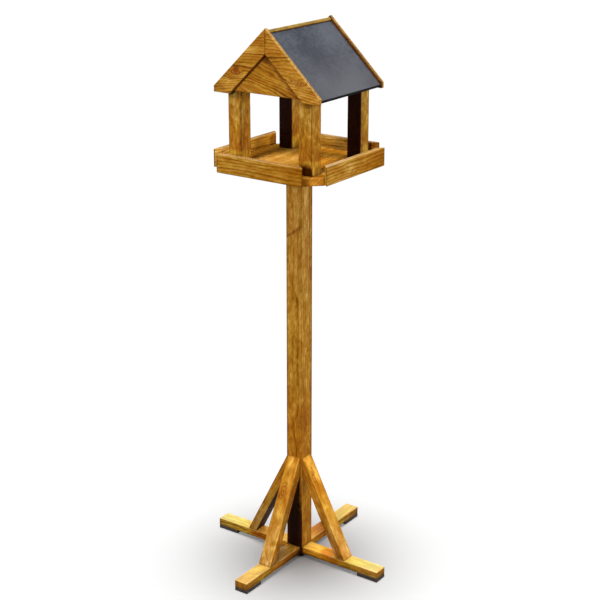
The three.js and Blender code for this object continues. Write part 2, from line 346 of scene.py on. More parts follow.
# %% [markdown]
# ## Arrises and corners
#
# A planed board is run over with fine paper, so its arrises are rounded by a millimetre. Those that face
# the sky are painted pale, partly as worn edges and partly as a painted highlight. The others are painted
# dark, partly as stain and dirt and partly as painted shade. The Bevel node gives the normal that a rounded
# edge would have. Where it differs from the flat face's normal, there is an edge. Where two boards meet,
# ambient occlusion finds the corner, and painted shade darkens it.

# %% Arris group
arris_group, inlet, outlet = new_group("arrises", {"Width": "Float"}, {"Worn And Highlit": "Float", "Dirt And Shade": "Float"})
g = arris_group
rounded = add(g, "Bevel", {"Radius": inlet.outputs["Width"]}, samples=4).outputs["Normal"]
true_normal = add(g, "NewGeometry").outputs["True Normal"]
edge = smooth_step(g, vectors(g, "DOT_PRODUCT", rounded, true_normal), 0.998, 0.93)
edge_patchiness = smooth_step(g, cloud(g, frame_place(g), 55.0), 0.35, 0.60, 0.35, 1.0)
edge = sums(g, "MULTIPLY", edge, edge_patchiness)
# Edges that face the sky are painted pale, partly as worn edges and partly as a painted highlight. The others
# are painted dark, partly as dirt and partly as painted shade.
skyward = smooth_step(g, coordinate(g, rounded, "Z"), 0.15, 0.45)
wire(g, sums(g, "MULTIPLY", edge, skyward), outlet.inputs["Worn And Highlit"])
wire(g, sums(g, "MULTIPLY", edge, sums(g, "SUBTRACT", 1.0, skyward)), outlet.inputs["Dirt And Shade"])
print("arrises:", len(g.nodes), "nodes")

# %% Corner group
corner_group, inlet, outlet = new_group("corners", {"Reach": "Float"}, {"Corner Shade": "Float"})
g = corner_group
# Painted shade: where ambient occlusion finds a corner, the colour is darkened.
opening = add(g, "AmbientOcclusion", {"Distance": inlet.outputs["Reach"]}, samples=6).outputs["AO"]
wire(g, smooth_step(g, opening, 0.85, 0.35), outlet.inputs["Corner Shade"])
print("corners:", len(g.nodes), "nodes")

# %% [markdown]
# ## Patches and streaks
#
# A stain is never the same all along a board. Many patches and streaks below are painted light and painted
# shade: painted shade where one board shades another or where two boards meet, and painted light where a
# face is brightened. A patch is a soft egg-shaped region of the frame, with a ragged edge, in which the paint
# is multiplied by a tint. A streak is a thin straight one, such as the painted shadow line under a board's
# edge. It lies in a plane, given by the direction across it.
#
# Both are listed by the name of the solid, in millimetres. A patch is a place, its half sizes and a tint. A
# streak is a place, the direction across it, its half width, its half length and a tint.

# %% Patch group
patch_group, inlet, outlet = new_group(
    "patch",
    {"Place": "Vector", "Centre": "Vector", "Reach": "Vector"},
    {"Share": "Float"},
)
g = patch_group
offset = vectors(g, "SUBTRACT", inlet.outputs["Place"], inlet.outputs["Centre"])
distance = vectors(g, "LENGTH", vectors(g, "DIVIDE", offset, inlet.outputs["Reach"]))
distance = nudge(g, distance, cloud(g, inlet.outputs["Place"], 70.0), 0.5)
wire(g, smooth_step(g, distance, 1.0, 0.55), outlet.inputs["Share"])
print("patch:", len(g.nodes), "nodes")

# %% Streak group
streak_group, inlet, outlet = new_group(
    "streak",
    {"Place": "Vector", "Centre": "Vector", "Across": "Vector", "Width": "Float", "Length": "Float"},
    {"Share": "Float"},
)
g = streak_group
offset = vectors(g, "SUBTRACT", inlet.outputs["Place"], inlet.outputs["Centre"])
away = sums(g, "ABSOLUTE", vectors(g, "DOT_PRODUCT", offset, inlet.outputs["Across"]))
away = sums(g, "DIVIDE", away, inlet.outputs["Width"])
away = nudge(g, away, cloud(g, inlet.outputs["Place"], 90.0), 0.8)
distance = sums(g, "DIVIDE", vectors(g, "LENGTH", offset), inlet.outputs["Length"])
near_line = smooth_step(g, away, 1.0, 0.3)
near_centre = smooth_step(g, distance, 1.0, 0.8)
wire(g, sums(g, "MULTIPLY", near_line, near_centre), outlet.inputs["Share"])
print("streak:", len(g.nodes), "nodes")

# %% Places on a solid
PATCHES = {}
STREAKS = {}
MIDDLE = ("middle", "middle", "middle")


def spot(name, place):
    """A place on a solid, in metres, from millimetres or the words low, middle and high for its box."""
    low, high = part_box(name)
    words = {"low": low, "middle": (low + high) / 2, "high": high}
    return Vector([words[given][axis] if given in words else given * MM for axis, given in enumerate(place)])


print("middle of the tray's floor:", [round(value, 4) for value in spot("tray_floor", MIDDLE)])

# %% [markdown]
# ## Stained timber
#
# All boards are the same softwood under the same honey-coloured stain, but no two came from the same place
# in the tree. One function makes the finish for one board. It lays the grain along the board and picks a
# heart beside it, and knots go where a list puts them. The shared groups add up to one tone, and a ramp
# turns the tone into stain colours, from the brown of the latewood to the gold of the early wood. Faces
# that look at the sky get a colour of their own, as painted light and shade on the tops: paler on the feet,
# partly as sun bleaching, and darker on the rims, the bargeboards and the ridge bead, the right rim less so.

# %% Places in a board


def board_turn(grain, broad_face):
    """Rotation from the frame's axes to a board's own: X along the grain, Z out of its broad face."""
    x = Vector(grain).normalized()
    z = Vector(broad_face)
    z = (z - z.dot(x) * x).normalized()
    return Matrix((x, z.cross(x), z))


def place_in_board(tree, name, turn, in_frame):
    """Place in a board, measured from its middle along its own axes."""
    mapping = add(tree, "Mapping", {"Vector": in_frame})
    mapping.inputs["Rotation"].default_value = turn.to_euler()
    mapping.inputs["Location"].default_value = -(turn @ spot(name, MIDDLE))
    return mapping.outputs["Vector"]


def place_in_trunk(tree, name, heart, in_board):
    """Place in the trunk that a board was sawn from. Its heart is given across the board, or picked."""
    luck = random.Random("timber " + name)
    if heart is None:
        heart = (luck.uniform(-0.03, 0.03), luck.choice((-1, 1)) * luck.uniform(0.05, 0.09))
    trunk_place = (luck.uniform(2.0, 30.0), *heart)
    return vectors(tree, "ADD", in_board, trunk_place)


def add_knots(tree, name, knots, turn, in_board):
    """How far the knots lift the rings, and how dark their cores are."""
    lift, core = 0.0, 0.0
    for centre, size in knots:
        from_middle = spot(name, centre) - spot(name, MIDDLE)
        inputs = {"Place": in_board, "Centre": turn @ from_middle, "Size": size * MM}
        knot = use_group(tree, knot_group, inputs)
        lift = sums(tree, "ADD", lift, knot.outputs["Lift"])
        core = sums(tree, "MAXIMUM", core, knot.outputs["Core"])
    return lift, core


print("board places are ready")

# %% Stain colours and tints
STAIN = [
    (0.00, rgb(66, 36, 5)),
    (0.22, rgb(116, 70, 10)),
    (0.42, rgb(160, 103, 18)),
    (0.58, rgb(181, 125, 34)),
    (0.76, rgb(204, 151, 58)),
    (1.00, rgb(238, 188, 96)),
]
WARM = rgb(172, 88, 16)
KNOT = rgb(132, 62, 10)
PALE_EDGE = rgb(236, 196, 118)
DIRT_AND_SHADE = rgb(48, 26, 6)


def tint_tops(tree, colour, tone, sky_colour, sky_share):
    """Paint a colour on faces that look at the sky, as painted light and shade on the tops. The grain still
    shows a little in it.
    """
    skyward = smooth_step(tree, coordinate(tree, face_normal(tree), "Z"), 0.55, 0.75)
    grain = smooth_step(tree, tone, 0.25, 0.95, 0.75, 1.2)
    grain = add(tree, "CombineColor", {0: grain, 1: grain, 2: grain}).outputs[0]
    top_colour = blend(tree, 1.0, sky_colour, grain, "MULTIPLY")
    return paint_over(tree, skyward, sky_share, colour, top_colour)


def band_tint(tree, place, axis, bands):
    """A tint that changes along an axis of the frame, through a list of distances in metres and tints."""
    strongest = max(max(tint) for distance, tint in bands)
    start, end = bands[0][0], bands[-1][0]
    along = vectors(tree, "DOT_PRODUCT", place, axis)
    along = nudge(tree, along, cloud(tree, place, 45.0), (end - start) * 0.08)
    share = sums(tree, "DIVIDE", sums(tree, "SUBTRACT", along, start), end - start)
    stops = []
    for distance, tint in bands:
        stops.append(((distance - start) / (end - start), (*[value / strongest for value in tint], 1.0)))
    inputs = {0: colour_ramp(tree, share, stops), "Scale": strongest}
    return add(tree, "VectorMath", inputs, operation="SCALE").outputs[0]


def tint_sides(tree, colour, turn, side_tint, under_tint):
    """Tint the narrow sides of a board, which on the braces is painted shade, and paint shade on its
    underside.
    """
    if side_tint:
        broad = vectors(tree, "DOT_PRODUCT", face_normal(tree), turn.row[2])
        sideways = smooth_step(tree, sums(tree, "ABSOLUTE", broad), 0.7, 0.3)
        colour = tinted(tree, sideways, colour, side_tint)
    if under_tint:
        downward = smooth_step(tree, coordinate(tree, face_normal(tree), "Z"), -0.2, -0.4)
        colour = tinted(tree, downward, colour, under_tint)
    return colour


def tint_spots(tree, name, colour, in_frame):
    """Tint the streaks and patches that are listed for a board."""
    for place, across, half_width, half_length, tint in STREAKS.get(name, ()):
        inputs = {"Place": in_frame, "Centre": spot(name, place), "Across": across,
                  "Width": half_width * MM, "Length": half_length * MM}
        streak = use_group(tree, streak_group, inputs)
        colour = tinted(tree, streak.outputs["Share"], colour, tint)
    for place, half_sizes, tint in PATCHES.get(name, ()):
        inputs = {"Place": in_frame, "Centre": spot(name, place), "Reach": [size * MM for size in half_sizes]}
        patch = use_group(tree, patch_group, inputs)
        colour = tinted(tree, patch.outputs["Share"], colour, tint)
    return colour


print("stain:", len(STAIN), "colours")

# %% Timber finish
BASE_TONE = 0.67
LATEWOOD_DEPTH = 0.52
BAND_DEPTH = 0.45
CLOUD_DEPTH = 0.85
FLECK_DEPTH = 0.60
FIBRE_DEPTH = 0.45
PORE_DEPTH = 0.12
WARM_SHARE = 0.30
KNOT_SHARE = 0.85
SKYWARD_EDGE_SHARE = 0.45
EDGE_DIRT_AND_SHADE_SHARE = 0.82
CORNER_REACH = 35 * MM
GRAIN_RELIEF = 0.4 * MM
GRAIN_TILT = 0.35
RING_RELIEF = 0.6
EARLYWOOD_ROUGHNESS = 0.60
LATEWOOD_ROUGHNESS = 0.48


def timber_finish(name, grain, broad_face, tone=0.0, ring_width=0.0050, rings_share=1.0, fleck_share=1.0,
                  figure_share=0.0, knots=(), bend=1.0, heart=None, sky_colour=None, sky_share=0.0,
                  side_tint=None, under_tint=None, bands=(), band_axis=(0, 0, 1), gloss=0.06,
                  dirt=0.55, worn_colour=PALE_EDGE, arris_width=0.0050):
    """Stained timber for the named solid, with its grain and broad face given as directions in the frame.

    Lengths are in metres, but a knot is a centre and a size in millimetres. The shares say how strongly an
    effect shows. A tint is one factor each for red, green and blue, and a band is a distance and a tint.
    """
    turn = board_turn(grain, broad_face)
    material, tree, shader = new_material("timber " + name)
    in_frame = frame_place(tree)
    in_board = place_in_board(tree, name, turn, in_frame)
    in_trunk = place_in_trunk(tree, name, heart, in_board)
    lift, core = add_knots(tree, name, knots, turn, in_board)

    inputs = {"Place": in_trunk, "Ring Width": ring_width, "Bend": bend, "Lift": lift}
    rings = use_group(tree, rings_group, inputs)
    fibres = use_group(tree, fibre_group, {"Place": in_trunk})
    stain = use_group(tree, stain_group, {"Place": in_trunk})
    arris = use_group(tree, arris_group, {"Width": arris_width})
    corner = use_group(tree, corner_group, {"Reach": CORNER_REACH})

    total = nudge(tree, BASE_TONE + tone, rings.outputs["Latewood"], -LATEWOOD_DEPTH * rings_share, 0.0)
    total = nudge(tree, total, rings.outputs["Band"], BAND_DEPTH * rings_share)
    total = nudge(tree, total, stain.outputs["Cloud"], CLOUD_DEPTH)
    total = nudge(tree, total, stain.outputs["Fleck"], FLECK_DEPTH * fleck_share)
    total = nudge(tree, total, stain.outputs["Figure"], figure_share)
    total = nudge(tree, total, fibres.outputs["Fibre"], FIBRE_DEPTH)
    total = nudge(tree, total, fibres.outputs["Pore"], -PORE_DEPTH, 0.0)

    colour = colour_ramp(tree, total, STAIN)
    colour = paint_over(tree, stain.outputs["Warmth"], WARM_SHARE, colour, WARM)
    colour = paint_over(tree, core, KNOT_SHARE, colour, KNOT)
    if sky_share:
        colour = tint_tops(tree, colour, total, sky_colour, sky_share)
    colour = tint_sides(tree, colour, turn, side_tint, under_tint)
    if bands:
        colour = blend(tree, 1.0, colour, band_tint(tree, in_frame, band_axis, bands), "MULTIPLY")
    colour = tint_spots(tree, name, colour, in_frame)
    # Edges that face the sky are painted pale, partly as worn edges and partly as a painted highlight. The
    # other edges are painted dark, partly as dirt and partly as painted shade, and the corners get painted
    # shade.
    colour = paint_over(tree, arris.outputs["Worn And Highlit"], SKYWARD_EDGE_SHARE, colour, worn_colour)
    colour = paint_over(tree, arris.outputs["Dirt And Shade"], EDGE_DIRT_AND_SHADE_SHARE, colour, DIRT_AND_SHADE)
    colour = paint_over(tree, corner.outputs["Corner Shade"], dirt, colour, DIRT_AND_SHADE)

    latewood = rings.outputs["Latewood"]
    dullness = smooth_step(tree, latewood, 0.0, 1.0, EARLYWOOD_ROUGHNESS, LATEWOOD_ROUGHNESS)
    coat(tree, shader, colour, dullness, gloss)
    height = sums(tree, "MULTIPLY_ADD", latewood, RING_RELIEF, fibres.outputs["Fibre"])
    height = sums(tree, "SUBTRACT", height, fibres.outputs["Pore"])
    emboss(tree, shader, height, GRAIN_TILT, GRAIN_RELIEF)
    return material


print("timber finish is ready")

# %% [markdown]
# ## Boards
#
# The grain of each board runs the way the joiner laid it: up the pole and the posts, along the feet, the
# braces and the rims. In the photograph it is level on the bargeboards and leans a little on the gable. The
# solids come with sharp edges, so the boards get a Bevel modifier too, for a rounded edge catches a line
# of light.

# %% Rounded arrises
ARRIS = 1.0 * MM
SLATE_ARRIS = 0.6 * MM
PAD_ARRIS = 0.8 * MM
SEAM = 0.01 * MM
FLAT_ANGLE = math.radians(1)
SHARP_ANGLE = math.radians(30)

ALONG_X = (1, 0, 0)
ALONG_Y = (0, 1, 0)
UP = (0, 0, 1)
FRONTWARDS = (0, -1, 0)
QUARTERS = {"right": ALONG_X, "back": ALONG_Y, "left": (-1, 0, 0), "front": FRONTWARDS}


def ease_edges(piece, width):
    """Round the edges of a solid. Its faces come in split, so they are welded and merged first."""
    weld = piece.modifiers.new("weld", "WELD")
    weld.merge_threshold = SEAM
    planes = piece.modifiers.new("planes", "DECIMATE")
    planes.decimate_type = "DISSOLVE"
    planes.angle_limit = FLAT_ANGLE
    bevel = piece.modifiers.new("eased arrises", "BEVEL")
    bevel.width = width
    bevel.segments = 2
    bevel.limit_method = "ANGLE"
    bevel.angle_limit = SHARP_ANGLE
    bevel.use_clamp_overlap = False


def paint(name, material):
    """Give a solid of the frame its finish."""
    piece = nodes[name]
    piece.data.materials.clear()
    piece.data.materials.append(material)


def dress(name, material, width=ARRIS):
    """Give a solid of the frame its finish and its rounded edges."""
    paint(name, material)
    ease_edges(nodes[name], width)


def dress_board(name, grain, broad_face, **looks):
    """Give a board its timber finish and its rounded edges."""
    dress(name, timber_finish(name, grain, broad_face, **looks))


print("arris:", ARRIS, "m")

# %% [markdown]
# ## Bands along the boards
#
# In the photograph a board's colour changes slowly from end to end. The pole is brown near the ground, pale
# higher up and dark again right under the tray, where the dark band is a painted shadow. A post is brown just
# above the rims and dark under the eaves, where its dark band is a painted shadow too. Most feet are brown
# halfway and lighter at both ends, and their lighter ends near the pole are painted light. The front foot is
# dark near the pole instead, as painted shade. Such a change is a list of bands.
# Each one is a distance in metres and the tint that the stain has there. For the pole, the braces and the
# posts it is the height, for a foot the distance from the pole's axis, and for a rim the place along it.

# %% Bands of the stand
# The last band of the pole is a painted shadow right under the tray.
POLE_BANDS = [
    (0.02, (0.60, 0.52, 0.28)),
    (0.22, (0.86, 0.76, 0.36)),
    (0.37, (0.82, 0.67, 0.33)),
    (0.52, (0.93, 0.93, 0.80)),
    (0.66, (1.00, 1.05, 1.00)),
    (0.81, (0.97, 1.03, 1.30)),
    (0.93, (0.98, 1.08, 1.75)),
    (1.04, (0.86, 0.92, 1.20)),
    (1.06, (0.42, 0.36, 0.34)),
]
# Near the pole, the first bands of a foot are painted light.
FOOT_BANDS = [
    (0.030, (1.45, 1.20, 0.75)),
    (0.065, (1.45, 1.18, 0.60)),
    (0.090, (1.12, 0.78, 0.28)),
    (0.130, (0.86, 0.56, 0.20)),
    (0.165, (1.02, 1.10, 0.92)),
    (0.200, (1.05, 1.22, 1.22)),
    (0.250, (0.98, 1.16, 1.45)),
]
# Near the pole, the front foot's first bands are painted shade under its brace.
FRONT_FOOT_BANDS = [
    (0.030, (0.85, 0.60, 0.25)),
    (0.080, (0.73, 0.48, 0.12)),
    (0.130, (0.95, 0.72, 0.50)),
    (0.180, (0.95, 0.90, 0.84)),
    (0.250, (0.90, 0.80, 0.88)),
]
BRACE_BANDS = [
    (0.03, (0.85, 0.90, 1.45)),
    (0.09, (0.95, 1.02, 1.40)),
    (0.15, (1.08, 1.12, 1.05)),
    (0.21, (1.10, 0.98, 0.62)),
    (0.25, (1.35, 1.32, 0.85)),
    (0.28, (1.55, 1.60, 1.35)),
]
RIGHT_BRACE_BANDS = [
    (0.03, (1.00, 1.02, 1.85)),
    (0.09, (1.00, 1.03, 1.40)),
    (0.15, (1.20, 1.28, 1.15)),
    (0.21, (1.38, 1.30, 1.02)),
    (0.25, (1.26, 1.18, 0.72)),
    (0.28, (1.50, 1.36, 0.95)),
]
FRONT_BRACE_BANDS = [
    (0.03, (0.72, 0.76, 1.25)),
    (0.09, (0.88, 0.95, 1.40)),
    (0.15, (0.92, 0.94, 0.82)),
    (0.21, (0.79, 0.57, 0.21)),
    (0.25, (1.20, 1.20, 0.90)),
    (0.28, (1.38, 1.34, 1.20)),
]
print("stand:", len(POLE_BANDS), "bands up the pole")

# %% Bands of the tray and roof
# The last band of a post is a painted shadow under the eaves.
POST_BANDS = [
    (1.086, (1.05, 1.20, 0.90)),
    (1.116, (1.05, 1.18, 0.85)),
    (1.122, (0.74, 0.62, 0.34)),
    (1.140, (0.82, 0.72, 0.42)),
    (1.175, (0.97, 0.97, 0.70)),
    (1.215, (1.02, 1.10, 1.30)),
    (1.245, (0.95, 1.05, 1.25)),
    (1.262, (0.75, 0.78, 0.80)),
]
RIM_BANDS = [
    (-0.12, (1.15, 1.32, 1.95)),
    (-0.03, (1.00, 1.10, 1.45)),
    (0.05, (0.89, 0.87, 0.75)),
    (0.12, (0.72, 0.61, 0.33)),
]
print("posts:", len(POST_BANDS), "bands")

# %% [markdown]
# ## The stand
#
# The pole's front has painted shade low down, between the braces, where no light comes. Higher up it has a
# diagonal painted shadow edge, and faint dark strips that run with the grain. Two of its arrises are dark.
# The right foot has an orange patch beside its brace, a paler side near its end, and a dark streak along its
# lower edge. The braces have painted shade underneath and on their narrow sides. The front one and the right
# one have a knot.

# %% Spots on the stand
ACROSS_SHADOW_EDGE = (-0.574, 0.0, 0.819)

# Painted shade on the pole's front, low down between the braces. The first streak is a painted shadow edge.
PATCHES["pole"] = [(("middle", "low", 60), (60, 5, 155), (0.10, 0.05, 0.06))]
STREAKS["pole"] = [
    ((-4, "low", 905), ACROSS_SHADOW_EDGE, 5.5, 36, (0.64, 0.52, 0.46)),
    ((16.5, "low", 900), ALONG_X, 8.0, 170, (0.80, 0.80, 0.58)),
    ((10, "low", 550), ALONG_X, 7.0, 220, (0.84, 0.80, 0.64)),
    (("high", 12, 850), ALONG_Y, 6.0, 250, (0.78, 0.74, 0.60)),
    (("high", "high", 700), ALONG_Y, 7.5, 550, (0.50, 0.40, 0.28)),
    (("low", "low", 700), ALONG_X, 5.0, 550, (0.55, 0.46, 0.36)),
]
PATCHES["foot_back"] = [
    (("middle", 225, "high"), (60, 60, 7), (1.12, 0.95, 0.86)),
    (("high", 230, 15), (7, 55, 25), (0.83, 0.66, 0.56)),
    (("middle", 90, "high"), (60, 50, 7), (0.77, 0.55, 0.28)),
]
PATCHES["foot_right"] = [
    ((97, -4, "high"), (26, 26, 7), (0.88, 0.66, 0.50)),
    ((235, "low", 20), (60, 7, 16), (1.22, 1.12, 1.75)),
    (("high", "middle", 18), (7, 40, 25), (1.00, 0.76, 0.75)),
]
STREAKS["foot_right"] = [((140, "low", "low"), UP, 6.5, 150, (0.42, 0.44, 0.50))]
PATCHES["foot_front"] = [(("high", -130, 16), (7, 110, 14), (1.22, 1.30, 1.10))]
PATCHES["brace_right"] = [((32, "low", 251), (26, 7, 42), (0.80, 0.76, 0.58))]
PATCHES["brace_front"] = [(("high", -119, 73), (7, 45, 60), (1.42, 1.34, 1.25))]
print("spots on", len(PATCHES), "pieces of the stand")

# %% Stand
# Foot tops are painted paler and yellower, partly as sun bleaching and partly as painted light. The braces
# get painted shade on their narrow sides and underneath.
BLEACHED_AND_LIT = rgb(232, 200, 104)
DARK_ARRIS = rgb(96, 54, 14)
FOOT_SIDES = (0.92, 1.12, 1.35)
BRACE_SIDE_SHADE = {
    "right": (0.68, 0.60, 0.56),
    "back": (0.65, 0.62, 0.55),
    "left": (0.65, 0.62, 0.55),
    "front": (0.60, 0.52, 0.30),
}
BRACE_UNDERSIDE_SHADE = (0.09, 0.06, 0.06)
BRACE_KNOTS = {
    "front": [((-4, -66, 208), 6.5)],
    "right": [((52, -6, 236), 5.5)],
}


def dress_foot(side, outwards):
    """A foot, with its grain along it, and its top paler, partly as sun bleaching and partly as painted
    light.
    """
    bands = FRONT_FOOT_BANDS if side == "front" else FOOT_BANDS
    dress_board("foot_" + side, outwards, UP, tone=-0.16, ring_width=0.0070, rings_share=0.9, fleck_share=1.3,
                bend=0.6, sky_colour=BLEACHED_AND_LIT, sky_share=0.7, bands=bands, band_axis=outwards,
                side_tint=FOOT_SIDES)


def dress_brace(side, outwards):
    """A brace. Its grain follows its slope, which is the diagonal of its box."""
    low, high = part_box("brace_" + side)
    run = max(high.x - low.x, high.y - low.y)
    slope = Vector(outwards) * -run + Vector(UP) * (high.z - low.z)
    sideways = Vector(UP).cross(Vector(outwards))
    bands = {"front": FRONT_BRACE_BANDS, "right": RIGHT_BRACE_BANDS}.get(side, BRACE_BANDS)
    dress_board("brace_" + side, slope, sideways.cross(slope), tone=0.05, ring_width=0.0090, rings_share=0.5,
                figure_share=0.8, bend=0.8, side_tint=BRACE_SIDE_SHADE[side], under_tint=BRACE_UNDERSIDE_SHADE,
                bands=bands, worn_colour=DARK_ARRIS, knots=BRACE_KNOTS.get(side, ()), arris_width=0.0035)


dress_board("pole", UP, FRONTWARDS, tone=0.01, ring_width=0.0080, rings_share=0.50, fleck_share=1.5,
            figure_share=0.35, bend=0.8, bands=POLE_BANDS, arris_width=0.0030)
for side, outwards in QUARTERS.items():
    dress_foot(side, outwards)
    dress_brace(side, outwards)
print("stand dressed")

# %% [markdown]
# ## The tray
#
# The tray's floor has painted light in the middle and a painted shadow at its near corner, and it is darker
# on the left and at the back. The rims' tops are painted darker, as painted shade, and the one on the right
# paler than the others, as a painted highlight. The inner faces of the left and back rims are tinted as the
# light falls in between the posts: painted light on the left rim, and painted shade at its ends and on the
# back rim.

# %% Spots on the tray
PATCHES["tray_rim_left"] = [
    (("high", 0, 1100), (7, 300, 90), (1.75, 1.95, 2.05)),
    (("high", -130, 1100), (7, 55, 90), (0.66, 0.58, 0.62)),
    (("high", 130, 1100), (7, 50, 90), (0.86, 0.80, 0.76)),
]
PATCHES["tray_rim_back"] = [
    ((60, "low", 1100), (75, 7, 90), (0.70, 0.76, 0.95)),
    ((150, "low", 1100), (36, 7, 90), (0.55, 0.45, 0.35)),
    ((0, "low", 1100), (300, 7, 200), (0.85, 0.90, 1.00)),
]
# Painted light in the middle of the floor and a painted shadow at its near corner. The floor is darker on the
# left and at the back.
PATCHES["tray_floor"] = [
    ((-145, 30, 1086), (36, 150, 12), (0.60, 0.54, 0.34)),
    ((-45, -15, 1086), (75, 95, 12), (1.40, 1.42, 1.70)),
    ((30, 120, 1086), (95, 45, 12), (0.95, 0.84, 0.50)),
    ((80, 20, 1086), (60, 80, 12), (1.45, 1.22, 0.75)),
    ((135, -135, 1078), (60, 60, 26), (0.62, 0.50, 0.29)),
]
print("tray floor:", len(PATCHES["tray_floor"]), "patches")

# %% Tray
# The rims' tops: painted shade on three of them, and a painted highlight on the right one.
RIM_TOP_SHADE = rgb(136, 98, 50)
RIM_TOP_HIGHLIGHT = rgb(172, 134, 78)
SPLIT_RADIALLY = (0.13, 0.03)


def dress_rim(side, outwards):
    """A rim, with its grain along it. Its top is painted darker as painted shade, and paler on the right rim
    as a painted highlight.
    """
    sideways = Vector(UP).cross(Vector(outwards))
    rim_top = RIM_TOP_HIGHLIGHT if side == "right" else RIM_TOP_SHADE
    dress_board("tray_rim_" + side, sideways, outwards, ring_width=0.0080, rings_share=0.9, bend=0.5,
                heart=SPLIT_RADIALLY, sky_colour=rim_top, sky_share=0.8, gloss=0.01, bands=RIM_BANDS,
                band_axis=[abs(value) for value in sideways], dirt=0.35)


for side, outwards in QUARTERS.items():
    dress_rim(side, outwards)
    dress_board("socket_batten_" + side, Vector(UP).cross(Vector(outwards)), outwards)
dress_board("tray_floor", ALONG_Y, UP, tone=0.1, rings_share=0.6, bend=0.5, gloss=0.0)
print("tray dressed")

# %% [markdown]
# ## Posts, gables and bargeboards
#
# The fronts of the rear posts are painted nearly black, as painted shade. The front posts have painted shadow
# under the eaves, and the right one at its foot as well, and the left one's right face is brightened at its
# top as painted light. The bargeboards stand proud of the gable, and the right one in front has a painted
# shadow line on the gable under its lower edge. The gable has painted shadow at its apex too. The front
# bargeboards have a pair of knots each. The rear ones have painted shade on their inner faces.

# %% Spots on the posts and the roof
# Painted shade for the fronts of the rear posts and the inner faces of the rear bargeboards.
IN_SHADE = (0.07, 0.04, 0.08)
BARGE_INSIDE_SHADE = (0.24, 0.16, 0.10)
ROOF_PITCH = math.radians(44)
ACROSS_BARGE = (math.sin(ROOF_PITCH), 0.0, math.cos(ROOF_PITCH))
LOWER_EDGES_MEET = 1363.5
LINE_MIDDLE = 75

for side in ("right", "left"):
    PATCHES[f"roof_post_{side}_back"] = [(("middle", "low", 1180), (60, 5, 260), IN_SHADE)]
    PATCHES[f"bargeboard_{side}_back"] = [(("middle", "low", "middle"), (200, 5, 200), BARGE_INSIDE_SHADE)]
# Painted shadow on the right front post at its foot and under the eaves, and on the left front post under the
# eaves. Painted light at the top of the left front post's right face.
PATCHES["roof_post_right_front"] = [
    (("middle", "low", 1085), (34, 7, 38), (0.30, 0.18, 0.10)),
    ((109.5, "low", 1268), (26, 7, 26), (0.55, 0.55, 0.55)),
]
PATCHES["roof_post_left_front"] = [
    (("middle", "low", 1268), (40, 7, 28), (0.55, 0.58, 0.60)),
    (("high", "middle", 1255), (7, 40, 40), (1.50, 1.60, 1.50)),
    (("high", "middle", 1160), (7, 45, 110), (0.72, 0.70, 0.62)),
]
PATCHES["roof_post_left_back"] += [
    (("high", "middle", 1250), (7, 45, 75), (0.68, 0.66, 0.58)),
    (("high", "middle", 1088), (7, 45, 45), (1.25, 1.35, 1.60)),
]
# Painted shadow on the gable at its apex, under the bargeboards.
PATCHES["gable_front"] = [
    ((0, -129, 1368), (30, 20, 34), (0.34, 0.20, 0.08)),
    ((-10, -129, 1300), (60, 20, 36), (1.10, 1.12, 1.00)),
]
# A painted shadow line on the gable under the right front bargeboard's lower edge.
line_height = LOWER_EDGES_MEET - LINE_MIDDLE * math.tan(ROOF_PITCH)
STREAKS["gable_front"] = [((LINE_MIDDLE, -129, line_height), ACROSS_BARGE, 18, 120, (0.42, 0.30, 0.16))]
PATCHES["bargeboard_left_front"] = [((-150, -134, 1262), (42, 20, 44), (0.72, 0.68, 0.50))]
print("spots on", len(PATCHES), "pieces in all")

# %% Posts, gables and bargeboards
# The tops of the bargeboards and of the ridge bead are painted darker, as painted shade.
BARGE_TOP_SHADE = rgb(128, 104, 60)
BEAD_TOP_SHADE = rgb(108, 92, 46)
POST_SIDES = {"front": None, "back": (0.83, 0.84, 0.78)}
GABLE_GRAIN = (1, 0, -0.28)
BARGE_KNOTS = {
    "left": [((-86, -138, 1314), 6.5), ((-100, -138, 1300), 4.0)],
    "right": [((85, -138, 1309), 5.5), ((101, -138, 1304), 5.0)],
}

for side in ("right", "left"):
    for end in ("front", "back"):
        dress_board(f"roof_post_{side}_{end}", UP, FRONTWARDS, ring_width=0.0070, rings_share=0.35,
                    fleck_share=2.3, figure_share=0.25, bend=0.8, bands=POST_BANDS,
                    side_tint=POST_SIDES[end])
        dress_board(f"bargeboard_{side}_{end}", ALONG_X, FRONTWARDS, ring_width=0.0068, bend=0.9, dirt=0.35,
                    arris_width=0.0030, heart=SPLIT_RADIALLY, knots=BARGE_KNOTS[side],
                    sky_colour=BARGE_TOP_SHADE, sky_share=0.8)
    dress_board("eaves_rail_" + side, ALONG_Y, ALONG_X)
for end in ("front", "back"):
    dress_board("gable_" + end, GABLE_GRAIN, FRONTWARDS, ring_width=0.0075, bend=1.1, heart=SPLIT_RADIALLY)
dress_board("ridge_batten", ALONG_Y, UP)
dress_board("ridge_bead", ALONG_Y, (1, 0, 1), sky_colour=BEAD_TOP_SHADE, sky_share=1.0)
print("boards dressed")

# %% [markdown]
# ## Slate, rubber and steel
#
# A slate is split, not sawn. Its face has a fine uneven cleft and is mottled from blue grey to near black,
# and it pales a little towards the eaves, where the rain leaves dust. Noises at three scales give the mottle,
# and the two finer ones also lift the surface. A near-black band along the lower edge is a painted shadow
# line, and the edges that don't face the sky, the corners and the undersides carry painted shade. Real
# slate has a dull shine, so the shader's specular level stays low and its roughness high.
#
# The pads under the feet are black rubber, scuffed pale on the edges and dusty at the floor. The screws are
# zinc-plated steel with a crystalline bloom and a little rust. The nails in the braces were stained over
# with the wood, so they have a paint's colour and no metal.

